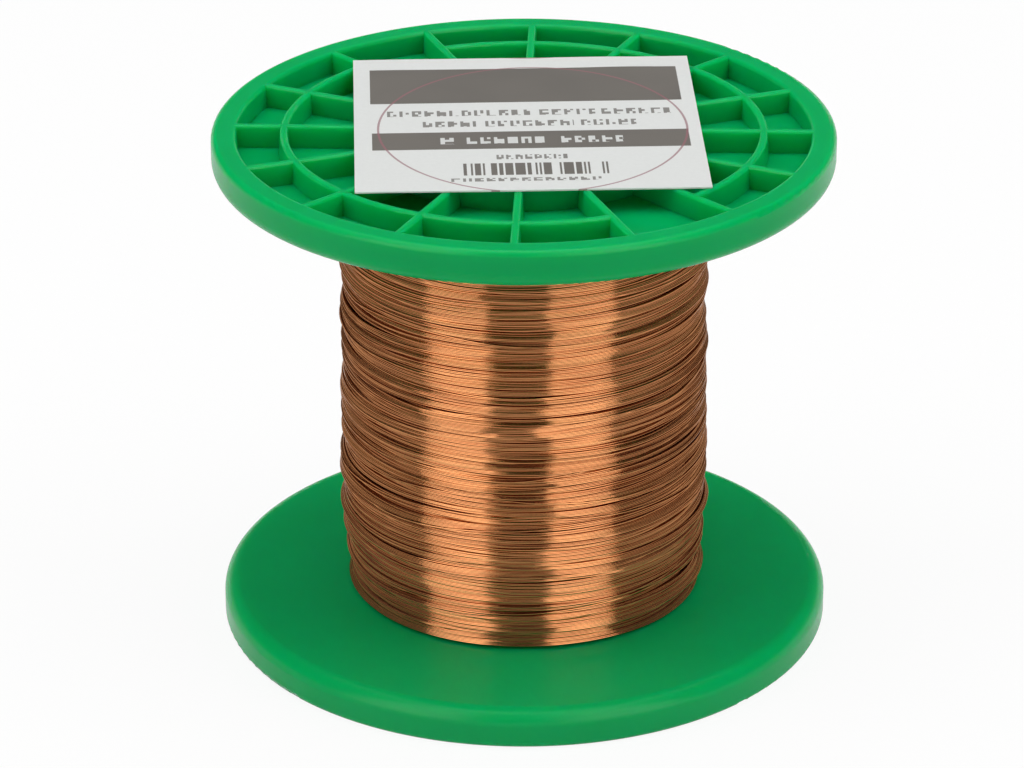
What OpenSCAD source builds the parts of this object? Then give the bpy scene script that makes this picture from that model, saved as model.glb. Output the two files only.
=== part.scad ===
// Magnet wire spool: a moulded plastic spool wound with fine enamelled copper
// wire, with a paper label stuck over the end of its core.
// Millimetres. The spool stands on the rim of its lower flange: +Z runs up the
// bore, and the origin is the centre of the lower rim face.

/* [Overall] */
// Outer diameter of both flanges
flange_d = 60; // [48:1:100]
// Height over both flanges
spool_h = 51.3; // [30:1:120]

/* [Flanges] */
// Thickness of a flange, from its rim face to its winding face
flange_t = 3.8; // [2.5:0.1:8]
// Thickness of the floor plate under the pockets
floor_t = 1.6; // [0.8:0.1:2.2]
// Width of the flat rim face round the pockets
rim_w = 2.4; // [1.5:0.1:4]
// Rounding of the outer edge on the rim face
rim_round = 0.6; // [0.1:0.05:1]
// Rounding of the outer edge on the winding face
edge_round = 1.5; // [0.3:0.1:2]
// Rounding of the inner edge on the rim face
rim_in_round = 0.4; // [0.1:0.05:0.45]

/* [Ribs] */
// Number of radial ribs on each flange
rib_count = 16; // [8:2:32]
// Thickness of every rib along its free edge
rib_t = 0.75; // [0.6:0.05:1.5]
// Mould draft: how much each rib face leans out by the floor
rib_draft = 0.14; // [0:0.02:0.3]
// Rounding of the corners along a rib's free edge
rib_round = 0.28; // [0.05:0.01:0.28]
// Centre-line diameter of the ring rib
ring_d = 46; // [40:0.5:80]
// Angle of the first radial rib from the X axis
rib_turn = -2; // [-20:0.5:20]
// First bay without a ring rib, counted from the first radial rib
open_bay = 5; // [0:1:15]
// Number of bays without a ring rib, evenly spread
open_bays = 2; // [1:1:4]

/* [Core] */
// Outer diameter of the barrel that the wire is wound on
barrel_d = 31; // [24:0.5:44]
// Wall thickness of the barrel
barrel_wall = 1.2; // [0.8:0.1:2.5]
// Diameter of the bore for the winding shaft
bore_d = 11; // [6:0.5:14]
// Wall thickness of the hub round the bore
hub_wall = 1.5; // [1:0.1:2.5]
// Depth of the hub and its webs below each rim face
hub_recess = 0.5; // [0:0.1:2]
// Chamfer at each mouth of the bore
bore_chamfer = 0.4; // [0:0.1:0.8]
// Number of webs between the hub and the barrel
web_count = 4; // [3:1:8]
// Thickness of a web
web_t = 1.2; // [0.8:0.1:2]

/* [Winding] */
// Diameter of the wire over its enamel
wire_d = 0.22; // [0.1:0.01:0.6]
// Layers of wire on the barrel
wire_layers = 11; // [4:1:20]
// Clearance of the winding to the barrel and to each flange
winding_gap = 0.05; // [0.02:0.01:0.2]
// Height of the thinner start of the winding at the lower flange
winding_foot_h = 5; // [2:0.5:10]
// How much lower the winding lies at the lower flange
winding_foot_drop = 0.5; // [0:0.05:1]
// Height of the swelling of the upper layers
winding_swell_h = 14; // [6:1:20]
// Rise of the swelling over the straight part
winding_swell = 0.12; // [0:0.02:0.4]

/* [Label] */
// Width of the label along X
label_w = 33.2; // [20:0.1:40]
// Length of the label along Y
label_l = 33.8; // [20:0.1:40]
// Thickness of the label paper
label_t = 0.15; // [0.1:0.01:0.3]
// Angle at which the label was stuck on
label_turn = 2; // [-10:0.5:10]
// Offset of the label's centre along X
label_x = 0.3; // [-3:0.1:3]
// Offset of the label's centre along Y
label_y = 1; // [-3:0.1:3]

/* [Hidden] */
$fn = 96;
flange_r = flange_d / 2;
rim_in_r = flange_r - rim_w;
barrel_r = barrel_d / 2;
barrel_in_r = barrel_r - barrel_wall;
bore_r = bore_d / 2;
hub_r = bore_r + hub_wall;
hub_h = spool_h - 2 * hub_recess;
ring_r = ring_d / 2;
bay_angle = 360 / rib_count;
open_pitch = 360 / open_bays;
pocket_depth = flange_t - floor_t;
// Half thickness of a rib at the floor, and the lean of its faces
rib_base = rib_t / 2 + rib_draft;
rib_lean = atan(rib_draft / pocket_depth);
// Half width of the flat free edge, and where the rounding meets the face
rib_tip = rib_t / 2 + rib_round * (tan(rib_lean) - 1 / cos(rib_lean));
rib_side = rib_tip + rib_round * cos(rib_lean);
rib_side_y = rib_round * (1 - sin(rib_lean));
// The same for the inner edge of the rim, whose wall leans as the ribs do
rim_tip = rim_in_r - rim_in_round * (tan(rib_lean) - 1 / cos(rib_lean));
rim_side = rim_tip - rim_in_round * cos(rib_lean);
rim_side_y = rim_in_round * (1 - sin(rib_lean));
// Depth by which joined walls run into each other
joint_depth = 0.4;
winding_in_r = barrel_r + winding_gap;
winding_r = winding_in_r + wire_layers * wire_d;
winding_z0 = flange_t + winding_gap;
winding_z1 = spool_h - flange_t - winding_gap;
winding_foot_r = winding_r - winding_foot_drop;
winding_swell_r = winding_r + winding_swell;
// Height above the flange at which the foot has half its drop
foot_bend = winding_foot_h * 0.4;

plastic_green = [0.05, 0.62, 0.33];
wire_copper = [0.72, 0.42, 0.24];
paper_white = [0.87, 0.86, 0.86];

// What a rounding of radius r takes off a square corner at the origin that
// points towards +X and +Y
module corner_waste(r) {
  difference() {
    translate([-r, -r])
      square(2 * r);
    translate([-r, -r])
      circle(r);
  }
}

// Half section of one flange, rim face on the X axis
module flange_section() {
  difference() {
    union() {
      translate([barrel_in_r, pocket_depth])
        square([flange_r - barrel_in_r, floor_t]);
      polygon([
        [rim_tip, 0],
        [flange_r, 0],
        [flange_r, flange_t],
        [rim_in_r - rib_draft, flange_t],
        [rim_in_r - rib_draft, pocket_depth],
        [rim_side, rim_side_y]
      ]);
      translate([rim_tip, rim_in_round])
        circle(rim_in_round);
    }
    translate([flange_r, flange_t])
      corner_waste(edge_round);
    translate([flange_r, 0])
      mirror([0, 1])
        corner_waste(rim_round);
  }
}

// Section of a drafted rib standing on the pocket floor, with a free edge at
// y = 0 whose two corners are round
module rib_section() {
  polygon([
    [-rib_tip, 0],
    [rib_tip, 0],
    [rib_side, rib_side_y],
    [rib_base, pocket_depth],
    [rib_base, pocket_depth + joint_depth],
    [-rib_base, pocket_depth + joint_depth],
    [-rib_base, pocket_depth],
    [-rib_side, rib_side_y]
  ]);
  for (side = [-1, 1])
    translate([side * rib_tip, rib_round])
      circle(rib_round);
}

module radial_rib() {
  translate([barrel_r - joint_depth, 0, 0])
    rotate([90, 0, 90])
      linear_extrude(height = rim_in_r - barrel_r + 2 * joint_depth)
        rib_section();
}

// Ring rib between one open bay and the next
module ring_run() {
  rotate([0, 0, rib_turn + (open_bay + 1) * bay_angle])
    rotate_extrude(angle = open_pitch - bay_angle)
      translate([ring_r, 0])
        rib_section();
}

module flange_ribs() {
  for (i = [0 : rib_count - 1])
    rotate([0, 0, rib_turn + i * bay_angle])
      radial_rib();
  for (i = [0 : open_bays - 1])
    rotate([0, 0, i * open_pitch])
      ring_run();
}

module flange() {
  rotate_extrude()
    flange_section();
  flange_ribs();
}

module barrel() {
  rotate_extrude()
    translate([barrel_in_r, 0])
      square([barrel_wall, spool_h]);
}

module hub() {
  rotate_extrude()
    polygon([
      [bore_r + bore_chamfer, hub_recess],
      [hub_r, hub_recess],
      [hub_r, hub_recess + hub_h],
      [bore_r + bore_chamfer, hub_recess + hub_h],
      [bore_r, hub_recess + hub_h - bore_chamfer],
      [bore_r, hub_recess + bore_chamfer]
    ]);
}

module hub_web() {
  translate([hub_r - joint_depth, -web_t / 2, hub_recess])
    cube([barrel_in_r - hub_r + 2 * joint_depth, web_t, hub_h]);
}

// One moulding: two ribbed flanges on a hollow barrel with a hub inside it
module spool_body() {
  color(plastic_green)
    union() {
      flange();
      translate([0, 0, spool_h])
        mirror([0, 0, 1])
          flange();
      barrel();
      hub();
      for (i = [0 : web_count - 1])
        rotate([0, 0, (i + 0.5) * 360 / web_count])
          hub_web();
    }
}

// The coil as one turned solid with its bore round the barrel
module wire_winding() {
  color(wire_copper)
    rotate_extrude()
      polygon([
        [winding_in_r, winding_z0],
        [winding_foot_r, winding_z0],
        [winding_r - winding_foot_drop / 2, winding_z0 + foot_bend],
        [winding_r, winding_z0 + winding_foot_h],
        [winding_r, winding_z1 - winding_swell_h],
        [winding_swell_r, winding_z1 - winding_swell_h / 2],
        [winding_r, winding_z1],
        [winding_in_r, winding_z1]
      ]);
}

// The label lies on the end of the barrel and on the ribs round it
module paper_label() {
  color(paper_white)
    translate([label_x, label_y, spool_h])
      rotate([0, 0, label_turn])
        translate([-label_w / 2, -label_l / 2, 0])
          cube([label_w, label_l, label_t]);
}

spool_body();
wire_winding();
paper_label();
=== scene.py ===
"""Magnet wire spool: a green moulded spool wound with enamelled copper wire,
with a paper label on its end."""

import math

import bpy
import numpy as np
from mathutils import Matrix, Vector


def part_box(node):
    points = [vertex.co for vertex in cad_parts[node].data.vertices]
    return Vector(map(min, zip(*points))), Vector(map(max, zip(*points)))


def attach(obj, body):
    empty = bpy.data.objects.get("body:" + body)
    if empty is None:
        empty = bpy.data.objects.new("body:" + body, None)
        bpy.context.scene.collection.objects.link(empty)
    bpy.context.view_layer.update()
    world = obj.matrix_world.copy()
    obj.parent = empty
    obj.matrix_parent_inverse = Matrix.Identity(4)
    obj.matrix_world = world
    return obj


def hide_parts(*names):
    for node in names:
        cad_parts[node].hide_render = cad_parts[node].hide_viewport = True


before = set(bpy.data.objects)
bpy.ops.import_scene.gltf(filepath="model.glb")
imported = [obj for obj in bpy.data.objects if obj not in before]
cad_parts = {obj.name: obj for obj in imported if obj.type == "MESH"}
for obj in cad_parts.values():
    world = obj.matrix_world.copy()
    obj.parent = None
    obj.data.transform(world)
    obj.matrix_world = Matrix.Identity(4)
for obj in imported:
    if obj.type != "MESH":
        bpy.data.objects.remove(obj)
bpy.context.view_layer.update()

MM = 0.001
rng = np.random.default_rng(2026)

spool_low, spool_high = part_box("spool_body")
label_low, label_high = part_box("paper_label")
coil_low, coil_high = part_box("wire_winding")
SPOOL_TOP = spool_high.z
FULL_TURN = 2 * math.pi


# ---------------------------------------------------------------- small tools
def clear_selection():
    """Goes to object mode with nothing selected."""
    if bpy.context.object and bpy.context.object.mode != "OBJECT":
        bpy.ops.object.mode_set(mode="OBJECT")
    bpy.ops.object.select_all(action="DESELECT")


def tone(hex_code):
    """An sRGB hex colour as linear RGBA."""
    parts = [int(hex_code[i : i + 2], 16) / 255 for i in (1, 3, 5)]
    lin = [c / 12.92 if c <= 0.04045 else ((c + 0.055) / 1.055) ** 2.4 for c in parts]
    return (*lin, 1.0)


def add_node(tree, kind, inputs=None, **settings):
    """Adds a node, sets its properties, and sets or links each of its inputs."""
    node = tree.nodes.new(kind)
    for name, value in settings.items():
        setattr(node, name, value)
    for name, value in (inputs or {}).items():
        if isinstance(value, bpy.types.NodeSocket):
            tree.links.new(value, node.inputs[name])
        else:
            node.inputs[name].default_value = value
    return node


def new_material(name, **sockets):
    """A material with one Principled shader and its fixed socket values."""
    material = bpy.data.materials.new(name)
    material.use_nodes = True
    tree = material.node_tree
    tree.nodes.clear()
    shader = add_node(tree, "ShaderNodeBsdfPrincipled")
    for socket, value in sockets.items():
        shader.inputs[socket.replace("_", " ")].default_value = value
    add_node(tree, "ShaderNodeOutputMaterial", {"Surface": shader.outputs["BSDF"]})
    return material, tree, shader


def dress(obj, material):
    """Puts the material in every material slot of the object, and adds one if it has none."""
    if not obj.material_slots:
        obj.data.materials.append(material)
    for slot in obj.material_slots:
        slot.material = material


# ---------------------------------------------------------------- camera
CAMERA_LENS = 159.9  # mm
CAMERA_SENSOR = 36.0  # mm
CAMERA_DISTANCE = 447.0 * MM
CAMERA_ELEVATION = math.radians(25.2)
CAMERA_ROLL = math.radians(-0.15)
# How far it aims off the spool's middle, in the picture plane
AIM_RIGHT, AIM_UP = -1.19 * MM, -1.41 * MM

middle = Vector((0, 0, SPOOL_TOP / 2))
back = Vector((0, -math.cos(CAMERA_ELEVATION), math.sin(CAMERA_ELEVATION)))
picture_up = Vector((0, math.sin(CAMERA_ELEVATION), math.cos(CAMERA_ELEVATION)))
aim_shift = Vector((AIM_RIGHT, 0, 0)) + picture_up * AIM_UP
camera_data = bpy.data.cameras.new("camera")
camera_data.lens = CAMERA_LENS
camera_data.sensor_width = CAMERA_SENSOR
camera_data.clip_start = 10 * MM
camera = bpy.data.objects.new("camera", camera_data)
bpy.context.collection.objects.link(camera)
camera.location = middle + aim_shift + back * CAMERA_DISTANCE
facing = (-back).to_track_quat("-Z", "Y").to_matrix() @ Matrix.Rotation(CAMERA_ROLL, 3, "Z")
camera.rotation_euler = facing.to_euler()
bpy.context.scene.camera = camera


# ---------------------------------------------------------------- materials
GREEN, PALE_GREEN = "#00A75A", "#02B062"
FLOW_SIZE = 9 * MM  # from one change of colour in the flow of the melt to the next
SINK_SIZE, SINK_DEPTH = 5 * MM, 0.05 * MM  # spacing and depth of the sink marks


def make_green_plastic():
    # High-impact polystyrene, injection moulded in a polished mould: an even
    # saturated green with a soft satin gloss and the faint waviness of sink
    # marks. Thin ribs let a little light through, which softens their edges.
    material, tree, shader = new_material(
        "moulded_polystyrene",
        IOR=1.5,
        Specular_IOR_Level=0.15,
        Roughness=0.27,
        Subsurface_Weight=1.0,
        Subsurface_Radius=(0.3, 1.0, 0.45),
        Subsurface_Scale=3.0 * MM,
    )
    place = add_node(tree, "ShaderNodeTexCoord").outputs["Object"]
    flow = add_node(
        tree,
        "ShaderNodeTexNoise",
        {"Vector": place, "Scale": 1 / FLOW_SIZE, "Detail": 2.0},
    ).outputs["Fac"]
    colour = add_node(
        tree,
        "ShaderNodeMix",
        {"Factor": flow, 6: tone(GREEN), 7: tone(PALE_GREEN)},
        data_type="RGBA",
    ).outputs[2]
    sinks = add_node(
        tree,
        "ShaderNodeTexNoise",
        {"Vector": place, "Scale": 1 / SINK_SIZE, "Detail": 1.0},
    ).outputs["Fac"]
    waviness = add_node(
        tree,
        "ShaderNodeBump",
        {"Height": sinks, "Strength": 0.5, "Distance": SINK_DEPTH},
    ).outputs["Normal"]
    tree.links.new(colour, shader.inputs["Base Color"])
    tree.links.new(waviness, shader.inputs["Normal"])
    return material


COPPER_LIGHT, COPPER_DEEP = "#C98A56", "#B37346"
# Painted shade: a darker copy of the copper for the core of the layers below, which get
# little light between the turns
SHADED_COPPER_LIGHT, SHADED_COPPER_DEEP = "#8A5A36", "#7A4E2E"
# Streaks of a slightly other shade, three wires high, because a change from
# one wire to the next is too fine to show
STREAKS_A_RADIAN = 1.4
STREAK_HEIGHT = 0.6 * MM


def make_enamelled_copper(name, light, deep):
    # Soft copper wire drawn smooth and coated with clear polyurethane enamel:
    # a glossy orange-brown metal with small changes from turn to turn.
    material, tree, shader = new_material(
        name,
        Metallic=1.0,
        Roughness=0.13,
        Specular_Tint=tone("#B09C90"),
        Coat_Weight=0.35,
        Coat_Roughness=0.12,
    )
    place = add_node(tree, "ShaderNodeTexCoord").outputs["Object"]
    axes = add_node(tree, "ShaderNodeSeparateXYZ", {"Vector": place}).outputs
    turn = add_node(
        tree, "ShaderNodeMath", {0: axes["Y"], 1: axes["X"]}, operation="ARCTAN2"
    ).outputs[0]
    along = add_node(
        tree, "ShaderNodeMath", {0: turn, 1: STREAKS_A_RADIAN}, operation="MULTIPLY"
    ).outputs[0]
    upward = add_node(
        tree, "ShaderNodeMath", {0: axes["Z"], 1: 1 / STREAK_HEIGHT}, operation="MULTIPLY"
    ).outputs[0]
    strip = add_node(
        tree, "ShaderNodeCombineXYZ", {"X": along, "Y": upward}
    ).outputs["Vector"]
    streak = add_node(
        tree, "ShaderNodeTexNoise", {"Vector": strip, "Scale": 1.0, "Detail": 3.0}
    ).outputs["Fac"]
    ramp = add_node(tree, "ShaderNodeValToRGB", {"Fac": streak})
    ramp.color_ramp.elements[0].position = 0.3
    ramp.color_ramp.elements[0].color = tone(deep)
    ramp.color_ramp.elements[1].position = 0.7
    ramp.color_ramp.elements[1].color = tone(light)
    tree.links.new(ramp.outputs["Color"], shader.inputs["Base Color"])
    return material


PAPER, PALE_PAPER = "#E1E3E1", "#E8EAE8"
INK, THIN_INK = "#565049", "#69625A"
RED_LINE = "#9C6A72"
# Paper fibres are 0.02 mm thick, and are drawn 0.4 mm apart so that they show.
# The ink is thicker and thinner over about 8 mm, as a worn ribbon leaves it.
FIBRES_A_MM, INK_PATCHES_A_MM = 2.5, 0.12
FIBRE_DEPTH = 0.01 * MM

# Label print, in millimetres from the label's middle: x0, x1, y0, y1
TOP_BAND = (-15.0, 15.25, 5.15, 14.1)
LOW_BAND = (-14.9, 15.35, -6.7, -2.4)
BAR_FIELD = (-6.4, 7.4, -13.2, -10.3)
# Words of marks too small to read, with the pitch of the marks
DARK_WORDS = [
    ((-13.4, 0.4, 1.75, 3.15), 1.2),
    ((1.3, 14.0, 1.75, 3.15), 1.2),
    ((-10.0, -4.9, -1.05, 0.35), 1.2),
    ((-4.0, 4.5, -1.05, 0.35), 1.2),
    ((5.2, 10.5, -1.05, 0.35), 1.2),
    ((-3.2, 3.5, -9.35, -8.25), 0.9),
    ((-7.6, 6.6, -14.7, -13.9), 1.1),
]
PALE_WORDS = [
    ((-8.4, -6.7, -5.4, -3.8), 1.7),
    ((-5.9, 1.5, -5.4, -3.8), 1.3),
    ((3.1, 9.0, -5.4, -3.8), 1.3),
]
# Shares of a mark's pitch that its upright and the whole mark take, and how
# many columns and rows of specks it has
MARK_UPRIGHT, MARK_WIDTH, MARK_COLUMNS, MARK_ROWS = 0.25, 0.75, 4, 3
SPECK_SHARE = 0.5
WORD_STRENGTH = 0.85
BAR_PITCH, BAR_SHARE = 0.19, 0.58
# Thin red lines: centre, half width, and height for one of width
SMALL_RING = ((0.5, -1.6), 14.8, 1.075)
LARGE_RING = ((0.9, 32.0), 15.2, 1.0)
RING_WIDTH = 0.22
INK_COVER, RED_COVER = 0.92, 0.75

# The label's corners in the CAD give its size and how it was turned when stuck on
corners = np.array([v.co[:2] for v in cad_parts["paper_label"].data.vertices])
front_left = corners[np.argmin(corners[:, 0] + corners[:, 1])]
front_right = corners[np.argmax(corners[:, 0] - corners[:, 1])]
rear_left = corners[np.argmin(corners[:, 0] - corners[:, 1])]
LABEL_W = float(np.linalg.norm(front_right - front_left))
LABEL_L = float(np.linalg.norm(rear_left - front_left))
LABEL_TURN = math.atan2(*(front_right - front_left)[::-1])


def make_label_paper(centre):
    # Coated paper, printed in grey and a thin red line: matt white that takes
    # a soft sheen at low angles.
    material, tree, shader = new_material("printed_label_paper", Roughness=0.5)
    turned = Matrix.Rotation(-LABEL_TURN, 3, "Z") @ Vector((centre.x, centre.y, 0))
    place = add_node(
        tree,
        "ShaderNodeMapping",
        {
            "Vector": add_node(tree, "ShaderNodeTexCoord").outputs["Object"],
            "Location": (-turned.x / MM, -turned.y / MM, 0),
            "Rotation": (0, 0, -LABEL_TURN),
            "Scale": (1 / MM, 1 / MM, 1 / MM),
        },
    ).outputs["Vector"]
    axes = add_node(tree, "ShaderNodeSeparateXYZ", {"Vector": place}).outputs

    def block(x0, x1, y0, y1):
        """A mask that is 1 inside a printed block."""
        across = add_node(
            tree,
            "ShaderNodeMath",
            {0: axes["X"], 1: (x0 + x1) / 2, 2: (x1 - x0) / 2},
            operation="COMPARE",
        ).outputs[0]
        along = add_node(
            tree,
            "ShaderNodeMath",
            {0: axes["Y"], 1: (y0 + y1) / 2, 2: (y1 - y0) / 2},
            operation="COMPARE",
        ).outputs[0]
        return add_node(
            tree, "ShaderNodeMath", {0: across, 1: along}, operation="MULTIPLY"
        ).outputs[0]

    def ring(centre, reach, tallness):
        """A mask of a thin line round an ellipse `tallness` times as high as it is wide."""
        squat = add_node(
            tree,
            "ShaderNodeVectorMath",
            {0: place, 1: (1, 1 / tallness, 0)},
            operation="MULTIPLY",
        ).outputs["Vector"]
        apart = add_node(
            tree,
            "ShaderNodeVectorMath",
            {0: squat, 1: (centre[0], centre[1] / tallness, 0)},
            operation="DISTANCE",
        ).outputs["Value"]
        return add_node(
            tree,
            "ShaderNodeMath",
            {0: apart, 1: reach, 2: RING_WIDTH / 2},
            operation="COMPARE",
        ).outputs[0]

    def dice(columns, lines, share):
        """A mask that is 1 in a random share of the cells of a grid."""
        spot = add_node(
            tree, "ShaderNodeCombineXYZ", {"X": columns, "Y": lines}
        ).outputs["Vector"]
        cell = add_node(
            tree, "ShaderNodeVectorMath", {0: spot}, operation="FLOOR"
        ).outputs["Vector"]
        draw = add_node(
            tree, "ShaderNodeTexWhiteNoise", {"Vector": cell}, noise_dimensions="2D"
        ).outputs["Value"]
        return add_node(
            tree, "ShaderNodeMath", {0: draw, 1: share}, operation="LESS_THAN"
        ).outputs[0]

    def word(area, pitch):
        """Marks like print too small to read: an upright and random specks beside it."""
        x0, x1, y0, y1 = area
        mark = add_node(
            tree,
            "ShaderNodeMath",
            {0: axes["X"], 1: 1 / pitch, 2: -x0 / pitch},
            operation="MULTIPLY_ADD",
        ).outputs[0]
        part = add_node(tree, "ShaderNodeMath", {0: mark}, operation="FRACT").outputs[0]
        # The offset keeps two words from drawing the same marks
        column = add_node(
            tree,
            "ShaderNodeMath",
            {0: mark, 1: MARK_COLUMNS, 2: round(x0 * 10)},
            operation="MULTIPLY_ADD",
        ).outputs[0]
        row = add_node(
            tree,
            "ShaderNodeMath",
            {0: axes["Y"], 1: MARK_ROWS / (y1 - y0)},
            operation="MULTIPLY",
        ).outputs[0]
        upright = add_node(
            tree, "ShaderNodeMath", {0: part, 1: MARK_UPRIGHT}, operation="LESS_THAN"
        ).outputs[0]
        printed_part = add_node(
            tree, "ShaderNodeMath", {0: part, 1: MARK_WIDTH}, operation="LESS_THAN"
        ).outputs[0]
        drawn = add_node(
            tree,
            "ShaderNodeMath",
            {0: dice(column, row, SPECK_SHARE), 1: upright},
            operation="MAXIMUM",
        ).outputs[0]
        inside = add_node(
            tree,
            "ShaderNodeMath",
            {0: block(*area), 1: printed_part},
            operation="MULTIPLY",
        ).outputs[0]
        return add_node(
            tree, "ShaderNodeMath", {0: drawn, 1: inside}, operation="MULTIPLY"
        ).outputs[0]

    grey = add_node(
        tree,
        "ShaderNodeMath",
        {0: block(*TOP_BAND), 1: block(*LOW_BAND)},
        operation="MAXIMUM",
    ).outputs[0]
    for area, pitch in PALE_WORDS:
        grey = add_node(
            tree,
            "ShaderNodeMath",
            {0: word(area, pitch), 1: -WORD_STRENGTH, 2: grey},
            operation="MULTIPLY_ADD",
        ).outputs[0]
    for area, pitch in DARK_WORDS:
        dark = add_node(
            tree,
            "ShaderNodeMath",
            {0: word(area, pitch), 1: WORD_STRENGTH},
            operation="MULTIPLY",
        ).outputs[0]
        grey = add_node(
            tree, "ShaderNodeMath", {0: grey, 1: dark}, operation="MAXIMUM"
        ).outputs[0]
    stripe = add_node(
        tree, "ShaderNodeMath", {0: axes["X"], 1: BAR_PITCH}, operation="DIVIDE"
    ).outputs[0]
    bars = add_node(
        tree,
        "ShaderNodeMath",
        {0: block(*BAR_FIELD), 1: dice(stripe, 0.0, BAR_SHARE)},
        operation="MULTIPLY",
    ).outputs[0]
    grey = add_node(
        tree, "ShaderNodeMath", {0: grey, 1: bars}, operation="MAXIMUM"
    ).outputs[0]
    red = add_node(
        tree,
        "ShaderNodeMath",
        {0: ring(*SMALL_RING), 1: ring(*LARGE_RING)},
        operation="MAXIMUM",
    ).outputs[0]

    fibre = add_node(
        tree,
        "ShaderNodeTexNoise",
        {"Vector": place, "Scale": FIBRES_A_MM, "Detail": 3.0},
    ).outputs["Fac"]
    patch = add_node(
        tree,
        "ShaderNodeTexNoise",
        {"Vector": place, "Scale": INK_PATCHES_A_MM, "Detail": 2.0},
    ).outputs["Fac"]
    paper = add_node(
        tree,
        "ShaderNodeMix",
        {"Factor": fibre, 6: tone(PAPER), 7: tone(PALE_PAPER)},
        data_type="RGBA",
    ).outputs[2]
    ink = add_node(
        tree,
        "ShaderNodeMix",
        {"Factor": patch, 6: tone(INK), 7: tone(THIN_INK)},
        data_type="RGBA",
    ).outputs[2]
    ink_share = add_node(
        tree, "ShaderNodeMath", {0: grey, 1: INK_COVER}, operation="MULTIPLY"
    ).outputs[0]
    printed = add_node(
        tree,
        "ShaderNodeMix",
        {"Factor": ink_share, 6: paper, 7: ink},
        data_type="RGBA",
    ).outputs[2]
    red_share = add_node(
        tree, "ShaderNodeMath", {0: red, 1: RED_COVER}, operation="MULTIPLY"
    ).outputs[0]
    lined = add_node(
        tree,
        "ShaderNodeMix",
        {"Factor": red_share, 6: printed, 7: tone(RED_LINE)},
        data_type="RGBA",
    ).outputs[2]
    tree.links.new(lined, shader.inputs["Base Color"])
    bump = add_node(
        tree,
        "ShaderNodeBump",
        {"Height": fibre, "Strength": 0.2, "Distance": FIBRE_DEPTH},
    ).outputs["Normal"]
    tree.links.new(bump, shader.inputs["Normal"])
    return material


# ---------------------------------------------------------------- winding
WIRE_R = 0.1  # mm, half the thickness of the wire
LAY_R = 0.06  # mm, radius used for laying, so that turns sink in between others
LAY_PITCH = 0.12  # mm from turn to turn
TURN_STEPS = 100  # points on one turn of wire
CELL = 0.006  # mm, height of one cell of the lay map
BUILD_UP = 0.48  # mm, what the laid turns add to the core
# Unevenness of the layers below: number of waves, spread in mm, most waves
# round the coil, and shortest and longest wave up the coil in mm
SWELL = (20, 0.034, 9, (2.5, 9.0))
RIDGES = (60, 0.036, 14, (1.0, 3.0))
STRANDS = (110, 0.036, 18, (0.35, 0.95))
# The laid traverses: widest parting of two turns in mm, stray turns, and
# whether it climbs
TRAVERSES = ((0.05, 0, True), (0.13, 18, False))
JITTER = 0.025  # mm, how unevenly turn follows turn
JITTER_REACH = 8  # points over which a turn wanders
# Turns part where the noise of unit spread passes the first number, and no
# further once it is past the second
PART_FROM, PART_UP_TO = 0.8, 2.1
STRAY_POINTS = (5, 10)  # half length of a stray turn's slip back, in points
STRAY_SLIP = (0.3, 1.2)  # mm that it slips back over turns laid before
DRIFT_LOST = 0.1  # share of its drift that a turn gives back to the next
SLACK = 0.03  # mm, how far a taut turn dips between the turns that hold it
START_STEPS = 5  # points over which a turn joins the one before it
# How far the coil lies inside the CAD solid, in mm, by height above the floor in mm
SETTLED = np.array(
    [
        (3.8, 0.35),
        (5.5, 0.4),
        (7.4, 0.33),
        (11.4, 0.2),
        (16.0, 0.07),
        (25.0, 0.11),
        (33.0, 0.32),
        (48.0, 0.4),
    ]
)

coil_points = np.array([v.co[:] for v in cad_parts["wire_winding"].data.vertices]) / MM
coil_reach = np.hypot(coil_points[:, 0], coil_points[:, 1])
CORE_IN = float(coil_reach.min())
outer = coil_reach > coil_reach.mean()
levels, first = np.unique(coil_points[outer, 2].round(3), return_inverse=True)
level_reach = np.array([coil_reach[outer][first == i].max() for i in range(len(levels))])
FOOT, HEAD = coil_low.z / MM, coil_high.z / MM
BARREL_R = CORE_IN * MM


def outline(z):
    """Outer radius of the coil at height z: the CAD solid less what it has settled."""
    return np.interp(z, levels, level_reach) - np.interp(z, *SETTLED.T)


def make_ripple(count, spread, most_waves, heights):
    """A smooth random field over angle and height, the same all round."""
    waves = rng.integers(0, most_waves + 1, count)
    lengths = rng.uniform(*heights, count) * rng.choice([-1, 1], count)
    phases = rng.uniform(0, FULL_TURN, count)
    size = spread * math.sqrt(2 / count)

    def field(angle, z):
        total = np.zeros(np.broadcast(angle, z).shape)
        for m, length, phase in zip(waves, lengths, phases):
            total += np.cos(m * angle + FULL_TURN * z / length + phase)
        return total * size

    return field


def bell(reach):
    """A bell curve over 3 times `reach` points to each side."""
    k = np.arange(-3 * reach, 3 * reach + 1)
    return np.exp(-0.5 * (k / reach) ** 2)


def along_noise(count, reach):
    """Random values with unit spread, smooth over `reach` points."""
    noise = np.convolve(rng.normal(size=count + 6 * reach), bell(reach), "same")
    noise = noise[3 * reach : 3 * reach + count]
    return noise / noise.std()


def smooth(values, reach):
    """The values, each shared out over `reach` points on both sides of it."""
    weight = bell(reach)
    padded = np.pad(values, 3 * reach, mode="edge")
    return np.convolve(padded, weight / weight.sum(), "valid")


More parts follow.
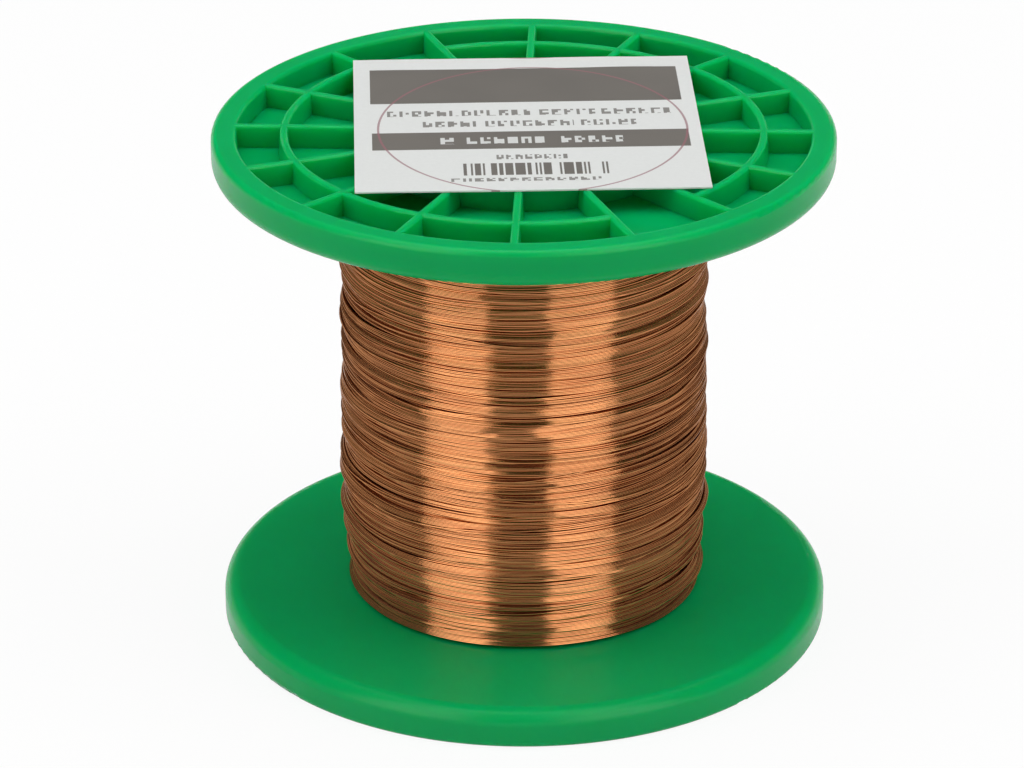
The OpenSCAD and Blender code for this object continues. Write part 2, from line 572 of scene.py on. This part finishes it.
def run_heights(gap, strays):
    """Heights of one traverse of turns, which mostly touch and part here and there."""
    room = HEAD - FOOT - 2 * WIRE_R
    turns = int(room / LAY_PITCH)
    total = turns * TURN_STEPS
    noise = along_noise(total, JITTER_REACH)
    parting = gap * np.clip(noise - PART_FROM, 0, PART_UP_TO - PART_FROM)
    parting += JITTER * along_noise(total, JITTER_REACH)
    parting = (parting - parting.mean()).reshape(turns, TURN_STEPS)
    parting[0] = 0
    drift = np.zeros((turns, TURN_STEPS))
    for i in range(1, turns):
        drift[i] = drift[i - 1] * (1 - DRIFT_LOST) + parting[i]
    step = np.arange(total)
    run = step / total * room + smooth(drift.ravel(), 2)
    for place in rng.integers(2 * TURN_STEPS, total - 2 * TURN_STEPS, strays):
        length, slip = rng.uniform(*STRAY_POINTS), rng.uniform(*STRAY_SLIP)
        run -= slip * np.exp(-0.5 * ((step - place) / length) ** 2)
    return run


def lay_wire():
    """Lays the traverses turn by turn on a height map and returns their points."""
    cells = int((HEAD - FOOT) / CELL) + 1
    z_cells = FOOT + np.arange(cells)[None, :] * CELL
    angles = np.arange(TURN_STEPS)[:, None] * FULL_TURN / TURN_STEPS
    ground = outline(z_cells) - BUILD_UP
    for unevenness in (SWELL, RIDGES, STRANDS):
        ground = ground + make_ripple(*unevenness)(angles, z_cells)
    reach = round(LAY_R / CELL)
    around = np.arange(-reach, reach + 1)
    cap = np.sqrt(np.maximum(LAY_R**2 - (around * CELL) ** 2, 0))
    eased = np.linspace(0.2, 0.9, START_STEPS)
    paths = []
    for gap, strays, upward in TRAVERSES:
        run = run_heights(gap, strays)
        total = len(run)
        step = np.arange(total)
        angle = step * FULL_TURN / TURN_STEPS
        z = FOOT + WIRE_R + run if upward else HEAD - WIRE_R - run
        z = np.clip(z, FOOT + WIRE_R, HEAD - WIRE_R)
        columns = step % TURN_STEPS
        height = np.zeros(total)
        lift = outline(z[0]) - BUILD_UP
        for start in range(0, total, TURN_STEPS):
            part = slice(start, start + TURN_STEPS)
            col = columns[part]
            cell = np.round((z[part] - FOOT) / CELL).astype(int)[:, None] + around
            cell = np.clip(cell, 0, cells - 1)
            held = ground[col[:, None], cell]
            rest = (held + cap).max(1)
            taut = np.maximum(smooth(rest, 1), rest - SLACK)
            taut[:START_STEPS] = lift + (taut[:START_STEPS] - lift) * eased
            lift = taut[-1]
            height[part] = taut
            ground[col[:, None], cell] = np.maximum(held, taut[:, None] + cap)
        z, height = smooth(z, 1), smooth(height, 1)
        points = np.stack([height * np.cos(angle), height * np.sin(angle), z], 1)
        paths.append(points * MM)
    return paths


def make_wire(name, points, material):
    """One length of wire through the points: a round poly curve turned into a mesh."""
    curve = bpy.data.curves.new(name, "CURVE")
    curve.dimensions = "3D"
    curve.bevel_depth = WIRE_R * MM
    curve.bevel_resolution = 1
    curve.use_fill_caps = True
    spline = curve.splines.new("POLY")
    spline.points.add(len(points) - 1)
    spline.points.foreach_set("co", np.c_[points, np.ones(len(points))].ravel())
    spline.use_smooth = True
    wire = bpy.data.objects.new(name, curve)
    bpy.context.collection.objects.link(wire)
    clear_selection()
    bpy.context.view_layer.objects.active = wire
    wire.select_set(True)
    bpy.ops.object.convert(target="MESH")
    wire = bpy.context.object
    dress(wire, material)
    return wire


MAX_TURNS_A_PIECE = 150
copper = make_enamelled_copper("enamelled_copper", COPPER_LIGHT, COPPER_DEEP)
# The same copper painted darker, as painted shade for the core under the laid turns
shaded_copper = make_enamelled_copper("enamelled_copper_painted_shade", SHADED_COPPER_LIGHT, SHADED_COPPER_DEEP)
wire_pieces = []
for path in lay_wire():
    count = math.ceil(len(path) / (MAX_TURNS_A_PIECE * TURN_STEPS))
    for piece in np.array_split(path, count):
        wire = make_wire(f"wire_turns_{len(wire_pieces) + 1}", piece, copper)
        wire_pieces.append(wire)


CORE_CUTS = 38  # points up the core's outside
CORE_STEPS = 96  # steps round it


def make_coil_core():
    """The turned body of the layers below the laid turns, spun from half its section."""
    clear_selection()
    inner, outside = BARREL_R, (float(outline(HEAD)) - BUILD_UP) * MM
    halfway = (inner + outside) / 2
    bpy.ops.mesh.primitive_plane_add(size=1)
    core = bpy.context.object
    core.name = "coil_core"
    core.scale = (outside - inner, coil_high.z - coil_low.z, 1)
    core.rotation_euler = (math.pi / 2, 0, 0)
    core.location = (halfway, 0, (coil_high.z + coil_low.z) / 2)
    bpy.ops.object.transform_apply(location=True, rotation=True, scale=True)
    bpy.ops.object.mode_set(mode="EDIT")
    bpy.ops.mesh.select_mode(type="VERT")
    bpy.ops.mesh.delete(type="ONLY_FACE")
    bpy.ops.object.mode_set(mode="OBJECT")
    for v in core.data.vertices:
        v.select = v.co.x > halfway
    for e in core.data.edges:
        e.select = all(core.data.vertices[i].select for i in e.vertices)
    bpy.ops.object.mode_set(mode="EDIT")
    bpy.ops.mesh.subdivide(number_cuts=CORE_CUTS)
    bpy.ops.object.mode_set(mode="OBJECT")
    for v in core.data.vertices:
        if v.co.x > halfway:
            v.co.x = (float(outline(v.co.z / MM)) - BUILD_UP) * MM
    bpy.ops.object.mode_set(mode="EDIT")
    bpy.ops.mesh.select_all(action="SELECT")
    bpy.ops.mesh.spin(
        steps=CORE_STEPS,
        angle=FULL_TURN,
        center=(0, 0, 0),
        axis=(0, 0, 1),
        use_auto_merge=True,
    )
    bpy.ops.mesh.select_all(action="SELECT")
    bpy.ops.mesh.remove_doubles(threshold=0.001 * MM)
    bpy.ops.mesh.normals_make_consistent(inside=False)
    bpy.ops.object.mode_set(mode="OBJECT")
    bpy.ops.object.shade_smooth_by_angle(angle=math.radians(40))
    # The core takes the copper with painted shade
    dress(core, shaded_copper)
    return core


coil_core = make_coil_core()

# ---------------------------------------------------------------- label
LABEL_T = label_high.z - label_low.z
LABEL_GRID = (68, 70)
# Waves of the paper: number, spread, most round the label, and shortest and
# longest from its middle outwards
LABEL_WAVES = (12, 0.05 * MM, 9, (9 * MM, 26 * MM))
# Beyond the barrel the paper rises by LABEL_LIFT in every LABEL_FREE outwards
LABEL_LIFT, LABEL_FREE = 0.06 * MM, 8 * MM
GLUE_LINE = 0.01 * MM  # thickness of the glue on the barrel's end
label_centre = (label_low + label_high) / 2


def make_label():
    """A sheet of paper flat on the barrel's end, a little wavy beyond it."""
    clear_selection()
    bpy.ops.mesh.primitive_grid_add(
        x_subdivisions=LABEL_GRID[0],
        y_subdivisions=LABEL_GRID[1],
        size=1,
        location=label_centre,
        rotation=(0, 0, LABEL_TURN),
    )
    label = bpy.context.object
    label.name = "printed_label"
    label.scale = (LABEL_W, LABEL_L, 1)
    bpy.ops.object.transform_apply(location=True, rotation=True, scale=True)
    ripple = make_ripple(*LABEL_WAVES)
    for v in label.data.vertices:
        angle, reach = math.atan2(v.co.y, v.co.x), math.hypot(v.co.x, v.co.y)
        free = max(0.0, (reach - BARREL_R) / LABEL_FREE)
        rise = free * (LABEL_LIFT + float(ripple(angle, reach)))
        v.co.z = SPOOL_TOP + GLUE_LINE + max(0.0, rise)
    thick = label.modifiers.new("paper", "SOLIDIFY")
    thick.thickness = LABEL_T
    thick.offset = 1.0
    bpy.ops.object.modifier_apply(modifier="paper")
    bpy.ops.object.shade_smooth_by_angle(angle=math.radians(30))
    return label


label = make_label()
dress(label, make_label_paper(label_centre))

# ---------------------------------------------------------------- CAD nodes
dress(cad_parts["spool_body"], make_green_plastic())

for piece in wire_pieces + [coil_core]:
    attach(piece, "root")
    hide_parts("wire_winding")
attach(label, "root")
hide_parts("paper_label")


# ---------------------------------------------------------------- stage
FLOOR_SIZE = 6  # m
FLOOR_WHITE = 0.9  # share of plain white in the floor as the eye sees it
FLOOR_PAINT = "#C0C0C0"  # what the floor throws back on the spool
WHITE, DARK_STUDIO = "#FFFFFF", "#454545"
# Height of the view at which the white horizon ends, and where it is dark
HORIZON_END, DARK_FROM = 0.08, 0.16


def make_stage():
    """A white table top that keeps a light shadow and throws little light back."""
    clear_selection()
    bpy.ops.mesh.primitive_plane_add(size=FLOOR_SIZE, location=(0, 0, 0))
    floor = bpy.context.object
    floor.name = "floor"
    material = bpy.data.materials.new("white_table_top")
    material.use_nodes = True
    tree = material.node_tree
    tree.nodes.clear()
    light = add_node(tree, "ShaderNodeLightPath").outputs
    seen = light["Is Camera Ray"]
    for ray in ("Is Glossy Ray", "Is Transmission Ray"):
        seen = add_node(
            tree, "ShaderNodeMath", {0: seen, 1: light[ray]}, operation="MAXIMUM"
        ).outputs[0]
    colour = add_node(
        tree,
        "ShaderNodeMix",
        {"Factor": seen, 6: tone(FLOOR_PAINT), 7: tone(WHITE)},
        data_type="RGBA",
    ).outputs[2]
    paint = add_node(tree, "ShaderNodeBsdfDiffuse", {"Color": colour})
    white = add_node(tree, "ShaderNodeEmission", {"Strength": 1.0})
    share = add_node(
        tree, "ShaderNodeMath", {0: seen, 1: FLOOR_WHITE}, operation="MULTIPLY"
    ).outputs[0]
    mixed = add_node(
        tree,
        "ShaderNodeMixShader",
        {"Fac": share, 1: paint.outputs["BSDF"], 2: white.outputs["Emission"]},
    )
    add_node(tree, "ShaderNodeOutputMaterial", {"Surface": mixed.outputs["Shader"]})
    dress(floor, material)


def make_world():
    """A studio that is white round the horizon and dark above."""
    world = bpy.data.worlds.new("studio")
    bpy.context.scene.world = world
    world.use_nodes = True
    tree = world.node_tree
    tree.nodes.clear()
    way = add_node(tree, "ShaderNodeTexCoord").outputs["Generated"]
    up = add_node(tree, "ShaderNodeSeparateXYZ", {"Vector": way}).outputs["Z"]
    ramp = add_node(tree, "ShaderNodeValToRGB", {"Fac": up})
    ramp.color_ramp.elements[0].position = HORIZON_END
    ramp.color_ramp.elements[0].color = tone(WHITE)
    ramp.color_ramp.elements[1].position = DARK_FROM
    ramp.color_ramp.elements[1].color = tone(DARK_STUDIO)
    glow = add_node(tree, "ShaderNodeBackground", {"Color": ramp.outputs["Color"]})
    add_node(tree, "ShaderNodeOutputWorld", {"Surface": glow.outputs["Background"]})


def add_panel(name, location, facing_way, width, height, radiance):
    """A rectangular lamp of one even radiance, where 1 is the radiance of plain white."""
    data = bpy.data.lights.new(name, "AREA")
    data.shape = "RECTANGLE"
    data.size, data.size_y = width, height
    data.energy = radiance * math.pi * width * height
    lamp = bpy.data.objects.new(name, data)
    bpy.context.collection.objects.link(lamp)
    lamp.location = location
    lamp.rotation_euler = facing_way.to_track_quat("-Z", "Y").to_euler()
    return lamp


UPRIGHT_DISTANCE = 0.6  # m from the spool to a lamp that stands on the floor
# Those lamps: azimuth with 0 in front, half width and top, all three in
# degrees as the spool sees them, and radiance
STRIPS = {"strip_left": (-42.5, 19.5, 66, 2.75), "strip_right": (35.5, 20.0, 66, 2.65)}
LOW_FILL = (0, 40, 22, 1.75)
# Hanging lamps, which face the spool: place, width and height in m, radiance
SIDE_FILLS = {
    "fill_left": (Vector((-0.7, -0.12, 0.7)).normalized() * 0.8, 0.62, 0.6, 2.05),
    "fill_right": (Vector((0.7, -0.12, 0.7)).normalized() * 0.8, 0.62, 0.6, 2.05),
}
TOP_PANEL = (Vector((0, 0.10, 0.85)), 0.75, 0.7, 2.1)


def add_upright_panel(name, azimuth, half_width, top, radiance):
    """A tall lamp standing on the floor, turned to the spool."""
    a = math.radians(azimuth)
    way = Vector((math.sin(a), -math.cos(a), 0))
    width = 2 * UPRIGHT_DISTANCE * math.tan(math.radians(half_width))
    height = UPRIGHT_DISTANCE * math.tan(math.radians(top))
    place = way * UPRIGHT_DISTANCE + Vector((0, 0, height / 2))
    return add_panel(name, place, -way, width, height, radiance)


make_stage()
make_world()
# Two strip lights that the wire mirrors
for name, strip in STRIPS.items():
    add_upright_panel(name, *strip).visible_diffuse = False
# Soft lamps for the plastic and the paper: one from each side, a low one in
# front, and one above
for name, (place, width, height, radiance) in SIDE_FILLS.items():
    add_panel(name, place, -place, width, height, radiance).visible_glossy = False
add_upright_panel("fill_front", *LOW_FILL).visible_glossy = False
above, width, height, radiance = TOP_PANEL
add_panel("panel_top", above, -above, width, height, radiance)

bpy.context.scene.view_settings.view_transform = "Standard"
